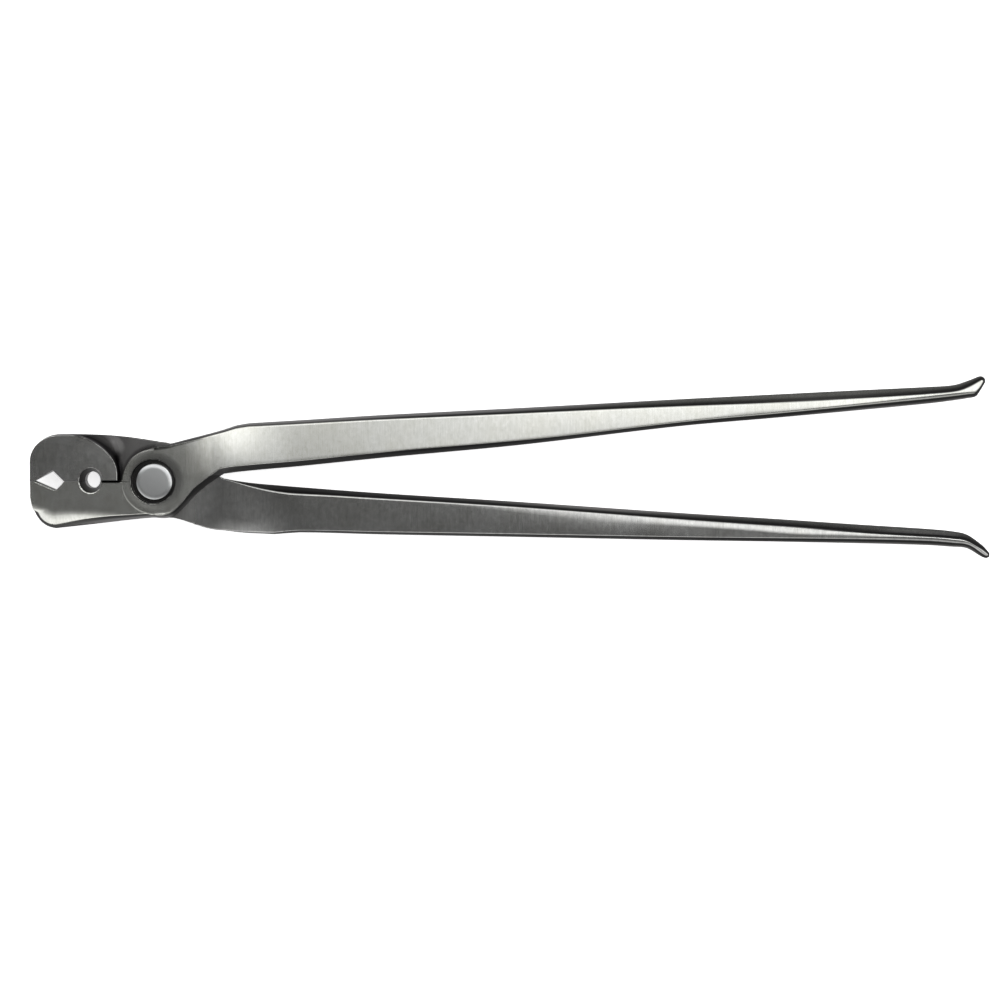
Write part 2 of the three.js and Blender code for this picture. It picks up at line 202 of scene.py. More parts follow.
# ---------------------------------------------------------------- curves and fields
def smooth(table, x, column=1):
    """Cubic interpolation through a table whose first column is x."""
    rows = np.asarray(table, float)
    knots, values = rows[:, 0], rows[:, column]
    before = np.clip(np.arange(len(rows)) - 1, 0, None)
    after = np.clip(np.arange(len(rows)) + 1, None, len(rows) - 1)
    slopes = (values[after] - values[before]) / (knots[after] - knots[before])
    i = np.clip(np.searchsorted(knots, x, side="right") - 1, 0, len(rows) - 2)
    step = knots[i + 1] - knots[i]
    t = np.clip((x - knots[i]) / step, 0, 1)
    return (
        values[i] * (2 * t**3 - 3 * t**2 + 1)
        + values[i + 1] * (3 * t**2 - 2 * t**3)
        + step * slopes[i] * (t**3 - 2 * t**2 + t)
        + step * slopes[i + 1] * (t**3 - t**2)
    )


def fade(low, high, value):
    """0 at low, 1 at high, with flat ends."""
    t = np.clip((value - low) / (high - low), 0, 1)
    return t * t * (3 - 2 * t)


def round_max(a, b, r):
    """The common part of two fields, with its edge rounded to radius r."""
    return np.minimum(np.maximum(a, b), -r) + np.hypot(np.maximum(a + r, 0), np.maximum(b + r, 0))


def round_min(a, b, r):
    """Two fields joined, with the corner between them filled to radius r."""
    return -round_max(-a, -b, r)


def bezier(p0, p1, p2, p3, steps):
    t = np.linspace(0, 1, steps + 1)[1:, None]
    p0, p1, p2, p3 = (np.asarray(p, float) for p in (p0, p1, p2, p3))
    return (1 - t) ** 3 * p0 + 3 * t * (1 - t) ** 2 * p1 + 3 * t**2 * (1 - t) * p2 + t**3 * p3


def spline(points, steps):
    """A curve through the points, without its first one."""
    p = np.asarray(points, float)
    ends = np.vstack([2 * p[0] - p[1], p, 2 * p[-1] - p[-2]])
    t = np.linspace(0, 1, steps + 1)[1:, None]
    parts = []
    for k in range(len(p) - 1):
        a, b, c, d = ends[k : k + 4]
        bend = 2 * a - 5 * b + 4 * c - d
        twist = 3 * b - a - 3 * c + d
        parts.append(0.5 * (2 * b + (c - a) * t + bend * t**2 + twist * t**3))
    return np.vstack(parts)


def outline(lever):
    """The jaw, neck and handle at the parting plane, going round from the jaw's tip, past the seam."""
    start, pull_a, pull_b, length = lever["corner"]
    rounded_end = (JAW_TIP_X + length, -lever["depth"])
    first, last = lever["handle"][1][0], lever["handle"][-1][0]
    along = np.concatenate([np.arange(first, 248, 4.0), np.linspace(248, last, 40)])
    lower = np.column_stack([along, smooth(lever["handle"], along, 1)])
    upper = np.column_stack([along, smooth(lever["handle"], along, 2)])[::-1]
    return np.vstack([
        [(JAW_TIP_X, OVER_SEAM), (JAW_TIP_X, start)],
        bezier((JAW_TIP_X, start), pull_a, pull_b, rounded_end, 14),
        spline([rounded_end] + lever["back"], 6),
        spline([lever["back"][-1]] + lever["shoulder"] + [tuple(lower[0])], 5),
        lower[1:],
        upper,
        spline([tuple(upper[-1])] + lever["neck_top"], 4),
        [(NECK_END, BOSS_R - 0.06), (NECK_END, OVER_SEAM)],
    ])


def polygon_distance(polygon, x, y):
    """Distance to a closed polygon, negative inside."""
    x, y = np.broadcast_arrays(x, y)
    px, py = x.ravel(), y.ravel()
    best = np.full(px.shape, 1e9)
    inside = np.zeros(px.shape, bool)
    for (ax, ay), (bx, by) in zip(polygon, np.roll(polygon, -1, axis=0)):
        ex, ey = bx - ax, by - ay
        length2 = ex * ex + ey * ey
        if length2 < 1e-12:
            continue
        dx, dy = px - ax, py - ay
        t = np.clip((dx * ex + dy * ey) / length2, 0, 1)
        best = np.minimum(best, (dx - t * ex) ** 2 + (dy - t * ey) ** 2)
        if ay != by:
            crosses = ((ay > py) != (by > py)) & (px < ex * (py - ay) / ey + ax)
            inside ^= crosses
    return (np.sqrt(best) * np.where(inside, -1, 1)).reshape(x.shape)


def half_thickness(x):
    """From the parting plane to a face: the jaws thin towards their tip, the handle towards its grip."""
    jaw = HEAD_HALF - JAW_STEP - JAW_TAPER * (x + BOSS_PAD_R) ** 2
    return np.where(x < -BOSS_PAD_R, jaw, smooth(HANDLE_HALF, x))


def handle_middle(lever, x):
    return (smooth(lever["handle"], x, 1) + smooth(lever["handle"], x, 2)) / 2


def handle_half_width(lever, x):
    return (smooth(lever["handle"], x, 2) - smooth(lever["handle"], x, 1)) / 2


def edges(lever, name):
    """The radius of a face's lower and upper edge, each as a table along x."""
    return [(x, low) for x, low, _ in lever[name]], [(x, high) for x, _, high in lever[name]]


def inset(x, upper_share, lower_table, upper_table):
    return smooth(lower_table, x) * (1 - upper_share) + smooth(upper_table, x) * upper_share


def hole_field(lever, x, y, z, face):
    """The diamond and the countersunk round hole, each cut half into this jaw."""
    side = lever["hole_side"]
    sink = np.clip((z * side - (face - HOLE_CONE)) / HOLE_CONE, 0, 1.2)
    radius = HOLE_R + (HOLE_RIM_R - HOLE_R) * sink
    round_hole = np.hypot(x - HOLE_X, (y - HOLE_Y * side) / HOLE_STRETCH) - radius
    apex_x, apex_y = lever["apex"]
    depth = face - z * side
    rise = apex_y + (APEX_LEAN * depth if side > 0 else 0)
    sides = []
    for corner_x in (DIAMOND_LEFT - DIAMOND_LEAN * depth, DIAMOND_RIGHT):
        run = corner_x - apex_x
        length = np.hypot(run, rise)
        sides.append(((x - corner_x) * rise * np.sign(run) + np.abs(y) * np.abs(run)) / length)
    diamond = np.maximum(*sides)
    return np.minimum(round_hole, diamond)


def seat_field(lever, x, y, z):
    """The bore, and the seat of the rivet's head or of its washer."""
    rho = np.hypot(x, y)
    bore = rho - (SHANK_R + 0.1)
    if lever is FRONT:
        seat = np.hypot(x - SEAT_SHIFT, y) - SEAT_R
        floor = (HEAD_HALF - SEAT_DEPTH) - z
    else:
        seat = rho - WASHER_SEAT_R
        floor = (HEAD_HALF - WASHER_SEAT_DEPTH) - z
    return np.minimum(bore, np.maximum(seat, floor))


def crown(lever, x, y):
    """How far a handle's face falls away across the bar, from its slopes at the edges and in the middle."""
    reach = np.maximum(x, HANDLE_START)
    half_width = handle_half_width(lever, reach)
    across = np.clip((y - handle_middle(lever, reach)) / half_width, -1, 1)
    lower, middle, upper, line = (smooth(lever["tilt"], x, column) for column in (1, 2, 3, 4))
    above, below = np.maximum(across - line, 0), np.maximum(line - across, 0)
    fall = middle * (across - line)
    fall = fall + (upper - middle) * above**2 / (2 * (1 - line))
    fall = fall - (lower - middle) * below**2 / (2 * (1 + line))
    return half_width * fall


def pad_edge(lever, x, y):
    """Distance from the edge of the jaw's pad on the lap's side, in the plane of the lap."""
    centre_x, centre_y, radius_x = -31.4, -2.1, 19.65
    radius_y = lever["depth"] + centre_y + 0.6
    ex, ey = np.maximum(x - centre_x, 0) / radius_x, (y - centre_y) / radius_y
    ellipse = (np.hypot(ex, np.minimum(ey, 0)) - 1) * radius_x * 0.8
    return np.where(x <= centre_x, x - centre_x - 1.0, ellipse)


def lap_field(lever, x, y, z, half):
    """The lap's side: full thickness in the jaw's pad, then the lap's flat, then the fall to the handle."""
    ramp = fade(*LAP_RAMP, x)
    floor = LAP_GAP * (1 - ramp) - ramp * half + crown(lever, x, y)
    above_floor = floor - z
    # Near the jaw's back the pad's wall spreads towards its foot, and its edge and its foot get rounder
    lean = 3.4 * fade(-5.0, -13.5, y) * fade(-40, -22, x)
    depth = np.clip(above_floor / HEAD_HALF, 0, 1.1)
    wall = pad_edge(lever, x, y) - lean * (1 - depth)
    soft = 0.15 + 0.3 * fade(-7.0, -12.0, y) * fade(-27, -20, x)
    pad = round_max(wall, -z - half - PAD_LEAN * np.minimum(y, 0), soft)
    fillet = 0.35 + 1.4 * fade(-3.0, -10.0, y)
    return np.where(x > 6.0, above_floor, round_min(above_floor, pad, fillet))


def upper_side(lever, x, y):
    """0 on a lever's lower side and 1 on its upper side, with a short fade between."""
    middle = np.where(x > HANDLE_START, handle_middle(lever, x), 2.0 + 0.3 * x)
    return fade(-1.0, 1.0, y - middle)


def wall_field(z, half, parting, outer, lap):
    """Drafted walls, which meet in a soft ridge at the parting plane."""
    height = np.hypot(z, PARTING_RIDGE) - PARTING_RIDGE
    slope = (fade(-0.8, 0.8, z) * outer + fade(0.8, -0.8, z) * lap) / half
    return (parting + slope * height) / np.sqrt(1 + slope * slope)


def seam_and_boss(lever, x, y, z, half, wall):
    """Past the seam only the boss is left of the walls' shape. The groove is on the tool's front."""
    below = half - z * lever["hole_side"]
    groove = fade(SLOT_START, SLOT_FULL, x) * fade(SLOT_FLOOR, SLOT_WALL, below)
    gap = SEAM_GAP + (SLOT_GAP - SEAM_GAP) * groove
    body = round_max(wall, np.minimum(NECK_END - x, y + gap), 0.03)
    boss = np.hypot(x, y) - BOSS_R + BOSS_DRAFT * np.abs(z) / HEAD_HALF
    return round_min(body, boss, 0.05 + 2.5 * fade(-4, 4, x))


def outer_face(lever, x, y, z, half, inward):
    """The outer face: the jaw's, a hair below the boss's, with a ground roll along the jaw's back."""
    rho = np.hypot(x, y)
    step = JAW_STEP * fade(-0.3, 0.3, rho - BOSS_PAD_R) * (x < 0) * (x >= -BOSS_PAD_R)
    dish = DISH_DEPTH * fade(DISH_R + 0.6, SEAT_R - 0.4, rho) * (lever is FRONT)
    top = np.minimum(half - crown(lever, x, y), HEAD_HALF) - step - dish
    roll_width, roll_drop = (smooth(JAW_ROLL, x, column) for column in (1, 2))
    roll = np.clip((roll_width - inward) / np.maximum(roll_width, 0.05), 0, 1.3) ** 3.1
    return z - (top - roll * roll_drop * fade(-7.0, -11.5, y))


def lever_field(lever, x, y, z):
    """Negative inside the lever."""
    half = half_thickness(x)
    parting = polygon_distance(lever["outline"], x, y)
    upper_share = upper_side(lever, x, y)
    outer = inset(x, upper_share, OUTER_LOWER, OUTER_UPPER)
    lap = inset(x, upper_share, LAP_LOWER, LAP_UPPER)
    wall = wall_field(z, half, parting, outer, lap)
    body = seam_and_boss(lever, x, y, z, half, wall)

    # Edges are sharper next to the seam and on the neck
    near_seam = np.maximum(fade(-2.5, -1.0, y) * fade(-8, -10, x), fade(0, 2, y) * fade(7, 2, x) * 0.6)
    face = outer_face(lever, x, y, z, half, -(parting + outer * 0.72))
    edge = inset(x, upper_share, *edges(lever, "outer_edge")) * (1 - 0.85 * near_seam)
    body = round_max(body, face, edge)
    edge = inset(x, upper_share, *edges(lever, "lap_edge")) * (1 - 0.7 * near_seam)
    body = round_max(body, lap_field(lever, x, y, z, half), edge)
    body = round_max(body, -hole_field(lever, x, y, z, half), EDGE_ROUND)
    return round_max(body, -seat_field(lever, x, y, z), EDGE_ROUND)


# ---------------------------------------------------------------- meshing a field
def graded(stops):
    """Grid lines from [(start, spacing), ..., (end, 0)]."""
    lines = []
    for (start, spacing), (end, _) in zip(stops, stops[1:]):
        count = max(1, round((end - start) / spacing))
        lines.append(np.linspace(start, end, count, endpoint=False))
    return np.concatenate(lines + [[stops[-1][0]]])


def lever_grid(lever):
    """Grid points (x, y, z) that follow the lever: square on the head, and along the bar on the handle."""
    fine = 1.0
    last = lever["handle"][-1][0]
    xs = graded([(JAW_TIP_X - 0.6, 0.34 * fine), (24, 0.6 * fine), (50, 1.7 * fine), (240, 0.65 * fine),
                 (last + 0.5, 0)])
    low, high = -16.0, 13.6
    seam_lines = [(-0.4, 0.12), (-0.28, 0.02), (-0.22, 0.06), (-0.1, 0.02), (0.04, 0.08)]
    lines = graded([(low, 0.33 * fine)] + seam_lines + [(0.2, 0.33 * fine), (high, 0)])
    v = (lines - (low + high) / 2) / ((high - low) / 2)
    w = graded([(0, 0.3 * fine), (4.6, 0.16 * fine), (5.8, 0)]) / 5.8
    w = np.concatenate([-w[:0:-1], w])
    to_handle = fade(6, 24, xs)
    reach = np.maximum(xs, HANDLE_START)
    half_width = handle_half_width(lever, reach)
    middle = (low + high) / 2 * (1 - to_handle) + handle_middle(lever, reach) * to_handle
    spread = (high - low) / 2 * (1 - to_handle) + (half_width + 1.0) * to_handle
    x = xs[:, None, None] + np.zeros((1, len(v), 1))
    y = middle[:, None, None] + spread[:, None, None] * v[None, :, None]
    z = (half_thickness(xs) + 0.3)[:, None, None] * w[None, None, :]
    return x, y, z


def surface_net(values, x, y, z):
    """Vertices and quads of the zero level of values, one vertex to each cell that it passes through."""
    shape = values.shape
    points = np.stack([np.broadcast_to(a, shape) for a in (x, y, z)], axis=-1)
    inside = values < 0
    cells = tuple(n - 1 for n in shape)
    total = np.zeros(cells + (3,))
    count = np.zeros(cells, int)
    corners = [(i, j, k) for i in (0, 1) for j in (0, 1) for k in (0, 1)]

    def at(a, corner):
        return a[tuple(slice(c, c + n) for c, n in zip(corner, cells))]

    for a in corners:
        for axis in range(3):
            if a[axis]:
                continue
            b = tuple(1 if k == axis else a[k] for k in range(3))
            crossed = at(inside, a) != at(inside, b)
            va, vb = at(values, a)[crossed], at(values, b)[crossed]
            t = (va / (va - vb))[:, None]
            total[crossed] += at(points, a)[crossed] * (1 - t) + at(points, b)[crossed] * t
            count[crossed] += 1
    used = count > 0
    index = np.full(cells, -1)
    index[used] = np.arange(used.sum())
    vertices = total[used] / count[used][:, None]
    quads = []
    for axis in range(3):
        u, v = [(1, 2), (2, 0), (0, 1)][axis]
        here = [slice(1, -1)] * 3
        here[axis] = slice(0, -1)
        there = list(here)
        there[axis] = slice(1, None)
        a, b = inside[tuple(here)], inside[tuple(there)]
        base = np.argwhere(a != b)
        for other in (u, v):
            base[:, other] += 1
        steps = []
        for du, dv in ((0, 0), (1, 0), (1, 1), (0, 1)):
            cell = base.copy()
            cell[:, u] -= du
            cell[:, v] -= dv
            steps.append(index[tuple(cell.T)])
        ring = np.stack(steps, axis=1)
        leaving = a[a != b]
        quads.append(np.where(leaving[:, None], ring, ring[:, ::-1]))
    return vertices, np.vstack(quads)


def field_slope(lever, vertices):
    """The field's gradient, and its squared length with a floor that tames the kinks."""
    x, y, z = vertices.T
    h = SLOPE_STEP
    slopes = []
    for dx, dy, dz in ((h, 0, 0), (0, h, 0), (0, 0, h)):
        high = lever_field(lever, x + dx, y + dy, z + dz)
        low = lever_field(lever, x - dx, y - dy, z - dz)
        slopes.append((high - low) / (2 * h))
    gradient = np.stack(slopes, axis=1)
    return gradient, np.maximum((gradient**2).sum(1), LEAST_SLOPE2)


def settle(lever, vertices):
    """Moves the vertices onto the zero level and gives the field's normals there."""
    for _ in range(2):
        value = lever_field(lever, *vertices.T)
        gradient, size2 = field_slope(lever, vertices)
        move = -gradient * (value / size2)[:, None]
        length = np.linalg.norm(move, axis=1)
        vertices = vertices + move * np.minimum(1, LONGEST_MOVE / np.maximum(length, 1e-9))[:, None]
    gradient, size2 = field_slope(lever, vertices)
    return vertices, gradient / np.sqrt(size2)[:, None]


def make_object(name, vertices, faces, normals=None):
    mesh = bpy.data.meshes.new(name)
    mesh.from_pydata((vertices * MM).tolist(), [], faces if isinstance(faces, list) else faces.tolist())
    mesh.validate()
    mesh.shade_smooth()
    if normals is not None:
        mesh.normals_split_custom_set_from_vertices(normals.tolist())
    piece = bpy.data.objects.new(name, mesh)
    bpy.context.scene.collection.objects.link(piece)
    return piece


def add_attribute(piece, name, values):
    layer = piece.data.attributes.new(name, "FLOAT", "POINT")
    layer.data.foreach_set("value", np.asarray(values, np.float32))


# ---------------------------------------------------------------- forged skin, flash line, painted shade and painted highlight, from 0 to 1 at each vertex
def survey(lever, vertices, normals):
    """What the forged skin, the flash line and the painted shade and highlight depend on."""
    x, y, z = vertices.T
    facing = normals[:, 2]
    steep = np.abs(facing)
    half = half_thickness(x)
    return SimpleNamespace(
        x=x, y=y, z=z, rho=np.hypot(x, y), facing=facing, steep=steep, half=half,
        from_pad=pad_edge(lever, x, y),
        in_hole=(hole_field(lever, x, y, z, half) < 0.1) * fade(0.9, 0.7, steep),
        on_lap=fade(-2.5, -0.6, z) * (facing < 0),
    )


def skin_and_painted_shade(at):
    """The dark skin that the grinding left, with painted shade: on the walls, and mostly on the lap's flat.
    The walls' darkness also stands in for their dark reflections as painted shade, and the pad's and the
    boss's walls are darkened to take their highlights away.
    """
    walls = fade(0.62, 0.42, at.steep) * (1 - 0.6 * at.in_hole)
    lap = at.on_lap * (0.88 * fade(14, 6, at.x) + 0.25 * fade(6, 14, at.x))
    soft_walls = (at.x < 4) * fade(0.98, 0.9, at.steep)
    pad_wall = 0.95 * fade(-0.3, 0.0, at.from_pad) * (at.z < 0) * soft_walls
    boss_wall = fade(10.0, 10.4, at.rho) * (at.y > 0) * (at.z > 0) * soft_walls
    return np.max([walls, lap, pad_wall, boss_wall], axis=0)


def flash_and_painted_highlight(lever, at):
    """The brighter line along the parting plane, where the forging's flash was trimmed, with a painted
    highlight along that ridge.
    """
    reach = np.maximum(at.x, HANDLE_START)
    upper = at.y > np.where(at.x > HANDLE_START, handle_middle(lever, reach), 2.0)
    low, high = lever["flash_highlight"]
    strength = np.where(upper, smooth(high, at.x), smooth(low, at.x))
    return np.clip(fade(4.2, 0.8, np.abs(at.z)) * strength, 0, 1) * fade(0.6, 0.4, at.steep)


def rivet_shade_and_dirt(lever, at):
    """Painted shade round the rivet, with some dirt in its seat: in its seat, on the seat's rim, and fading
    out over the face.
    """
    on_front = lever is FRONT
    seat = fade(7.5, 7.1, at.rho) * fade(0.35, 0.6, at.half - at.z) * (at.facing > -0.5)
    rim = 0.95 * fade(7.4, 7.1, np.hypot(at.x - SEAT_SHIFT, at.y)) * (at.rho > 6.3) * (at.z > 3) * on_front
    halo = 0.45 * fade(10.2, 7.2, at.rho) * (at.facing > 0.5) * on_front
    return np.max([seat, rim, halo], axis=0)


def jaw_shade_and_dirt(at):
    """Painted shade, with some dirt: in the groove, the seam and the holes, and at the foot and the rim of
    the jaw's pad.
    """
    slot = fade(0.5, 0.36, np.abs(at.y)) * (at.x < -BOSS_R) * (at.x > SLOT_START)
    seam = 0.6 * fade(0.2, 0.08, np.abs(at.y)) * (at.x < -8)
    pad_foot = fade(2.4, 0.4, np.abs(at.from_pad)) * fade(-4.6, -3.0, at.z) * (at.x < 8) * (at.z < 1)
    pad_rim = fade(-0.5, -0.2, at.from_pad) * (at.from_pad < 1) * (0.35 + 0.65 * fade(-5, -9, at.y))
    pad_rim = 0.9 * pad_rim * (at.z < 0) * (at.x < 4)
    return np.max([slot, seam, pad_foot, pad_rim, 0.7 * at.in_hole], axis=0)


def lap_shade_and_dirt(lever, at):
    """Painted shade, with some dirt: on the lap's flat, a painted contact shadow round the other lever's
    boss, and faintly along the rear lever's neck.
    """
    lap_flat_shade = (0.15 + 0.35 * fade(-6, -13, at.x)) * at.on_lap * fade(6, 1, at.x)
    other_boss = 0.7 * fade(12.4, 11.0, at.rho) * (at.facing < -0.5) * (at.x < 0)
    neck = 0.22 * fade(10, 20, at.x) * fade(60, 30, at.x) * (at.facing < -0.5) * (lever is REAR)
    return np.max([lap_flat_shade, other_boss, neck], axis=0)


def edge_painted_shade(lever, at):
    """Painted shade: on the boss's and the neck's rims, at the foot of the handle's walls, and a painted
    shadow on the front's shoulder.
    """
    boss_rim = fade(9.9, 10.2, at.rho) * fade(11.4, 11.0, at.rho) * (at.y > 0.6) * (at.z > 0)
    boss_rim = 0.97 * boss_rim * fade(2.5, 0.5, at.x)
    foot = 0.95 * fade(3.0, 0.9, at.half - np.abs(at.z)) * fade(0.9, 0.75, at.steep)
    foot = foot * np.where(at.z > 0, fade(40, 90, at.x), fade(15, 25, at.x))
    parting = polygon_distance(lever["outline"], at.x, at.y)
    neck_rim = fade(-1.5, -1.0, parting) * (at.y > 8) * (at.z > 3)
    neck_rim = 0.85 * neck_rim * fade(-2, 2, at.x) * fade(19, 13, at.x)
    shoulder = 0.8 * fade(3, 6, at.x) * fade(26, 19, at.x) * (at.y < 2) * (at.z > 0.4)
    shoulder = shoulder * fade(0.96, 0.85, at.steep) * (lever is FRONT)
    return np.max([boss_rim, foot, neck_rim, shoulder], axis=0)


def make_lever(lever):
    lever["outline"] = outline(lever)
    x, y, z = lever_grid(lever)
    vertices, quads = surface_net(lever_field(lever, x, y, z), x, y, z)
    vertices, normals = settle(lever, vertices)
    vertices[:, 2] = np.clip(vertices[:, 2], -HEAD_HALF, HEAD_HALF)
    at = survey(lever, vertices, normals)
    # Painted shade, with some dirt, round the rivet, on the jaw, on the lap and along the edges
    shade_and_dirt = [rivet_shade_and_dirt(lever, at), jaw_shade_and_dirt(at), lap_shade_and_dirt(lever, at), edge_painted_shade(lever, at)]
    if lever is REAR:
        vertices = vertices * TURNED_OVER
        normals = normals * TURNED_OVER
    vertices = vertices + (0, 0, PARTING_Z)
    piece = make_object(lever["name"] + "_forging", vertices, quads, normals)
    # The masks: forged skin with painted shade, the trimmed flash with a painted highlight, and painted
    # shade with some dirt
    add_attribute(piece, "skin_and_shade", skin_and_painted_shade(at))
    add_attribute(piece, "flash_and_highlight", flash_and_painted_highlight(lever, at))
    add_attribute(piece, "shade_and_dirt", np.clip(np.max(shade_and_dirt, axis=0), 0, 1))
    return piece


# ---------------------------------------------------------------- the rivet and its washer
def arc(centre, radius, start, end, steps):
    """Points on an arc of a profile, angles in degrees."""
    angles = np.radians(np.linspace(start, end, steps + 1))
    return [(centre[0] + radius * math.cos(a), centre[1] + radius * math.sin(a)) for a in angles]


def lathe(name, profile, steps=160):
    """A closed profile of (radius, z) turned about the Z axis. A point on the axis stays one vertex."""
    points, rows = [], []
    angles = np.linspace(0, 2 * math.pi, steps, endpoint=False)
    for radius, height in profile:
        if radius < 1e-6:
            rows.append([len(points)] * steps)
            points.append((0, 0, height))
        else:
            rows.append(list(range(len(points), len(points) + steps)))
            points.extend((radius * math.cos(a), radius * math.sin(a), height) for a in angles)
    faces = []
    for low, high in zip(rows, rows[1:]):
        for k in range(steps):
            n = (k + 1) % steps
            ring = [low[k], low[n], high[n], high[k]]
            face = [v for i, v in enumerate(ring) if v != ring[i - 1]]
            faces.append(face)
    return make_object(name, np.array(points, float), faces)


def make_rivet():
    top = 2 * HEAD_HALF + HEAD_TOP
    play = 0.12  # under the head, and over the washer
    seat = 2 * HEAD_HALF - SEAT_DEPTH + play
    shoulder = WASHER_SEAT_DEPTH + play
    tail_r, neck_r, tail = 5.3, 4.0, 0.75
    edge_r, dome_drop, dome_r = 0.6, 0.07, 5.2
    dome = [(r, top - dome_drop * (r / dome_r) ** 2) for r in (0, 1.2, 2.4, 3.4, 4.2, 4.9)]
    edge = arc((HEAD_R - edge_r, top - 0.76), edge_r, 80, 0, 8)
    profile = (
        [(0, 0.06), (2.4, 0.03), (4.4, 0.0)]
        + arc((tail_r - 0.4, 0.4), 0.4, -90, 0, 6)
        + [(tail_r, tail), (neck_r, tail), (neck_r, shoulder), (SHANK_R, shoulder), (SHANK_R, seat)]
        + [(HEAD_R, seat)]
        + edge[::-1]
        + dome[::-1]
    )
    return lathe("rivet_turned", profile)


def make_washer():
    inner, outer, low, high = 4.1, 6.6, 0.87, 1.97
    profile = (
        [(inner, low + 0.1), (inner + 0.1, low)]
        + arc((outer - 0.35, low + 0.35), 0.35, -90, 0, 5)
        + arc((outer - 0.15, high - 0.15), 0.15, 0, 90, 3)
        + [(inner + 0.1, high), (inner, high - 0.1), (inner, low + 0.1)]
    )
    return lathe("washer_turned", profile)


# ---------------------------------------------------------------- materials
FLASH_AND_HIGHLIGHT_GAIN = 5.0  # how much brighter the trimmed flash and its painted highlight are than the forged skin and painted shade
FORGED_ROUGHNESS = 0.42
# How strong and how dark the painted shade, with some dirt, is
SHADE_AND_DIRT_SHARE = 0.92
SHADE_AND_DIRT_COLOUR = (0.012, 0.011, 0.013, 1)


def tint(tone, gain):
    return tuple(gain * c for c in tone) + (1,)


def node(tree, kind, **inputs):
    made = tree.nodes.new(kind)
    for key, value in inputs.items():
        made.inputs[key.replace("_", " ")].default_value = value
    return made


def ramp(tree, source, stops):
    made = tree.nodes.new("ShaderNodeValToRGB")
    elements = made.color_ramp.elements
    while len(elements) < len(stops):
        elements.new(0.5)
    for element, (position, colour) in zip(elements, stops):
        element.position = position
        element.color = (*colour, 1) if isinstance(colour, tuple) else (colour, colour, colour, 1)
    tree.links.new(source, made.inputs["Fac"])
    return made.outputs["Color"]


def stretched_noise(tree, scale, detail=3, rough=0.6):
    """Noise whose grain is scale times per metre along x, y and z of the object."""
    place = tree.nodes.new("ShaderNodeTexCoord")
    stretch = tree.nodes.new("ShaderNodeMapping")
    stretch.inputs["Scale"].default_value = scale
    tree.links.new(place.outputs["Object"], stretch.inputs["Vector"])
    noise = node(tree, "ShaderNodeTexNoise", Scale=1.0, Detail=detail, Roughness=rough)
    tree.links.new(stretch.outputs["Vector"], noise.inputs["Vector"])
    return noise.outputs["Fac"]


def mix_colour(tree, factor, a, b, mode="MIX"):
    mix = tree.nodes.new("ShaderNodeMix")
    mix.data_type = "RGBA"
    mix.blend_type = mode
    for key, value in (("Factor", factor), ("A", a), ("B", b)):
        socket = [s for s in mix.inputs if s.name == key and s.enabled][0]
        if isinstance(value, bpy.types.NodeSocket):
            tree.links.new(value, socket)
        else:
            socket.default_value = value
    return [s for s in mix.outputs if s.enabled][0]


def scalar(tree, operation, a, b):
    made = tree.nodes.new("ShaderNodeMath")
    made.operation = operation
    for socket, value in zip(made.inputs, (a, b)):
        if isinstance(value, bpy.types.NodeSocket):
            tree.links.new(value, socket)
        else:
            socket.default_value = value
    return made.outputs[0]


def scaled(tree, source, factor, offset):
    return scalar(tree, "ADD", scalar(tree, "MULTIPLY", source, factor), offset)


def attribute(tree, name):
    made = tree.nodes.new("ShaderNodeAttribute")
    made.attribute_name = name
    return made.outputs["Fac"]


def new_material(name):
    material = bpy.data.materials.new(name)
    material.use_nodes = True
    tree = material.node_tree
    return material, tree, tree.nodes["Principled BSDF"]


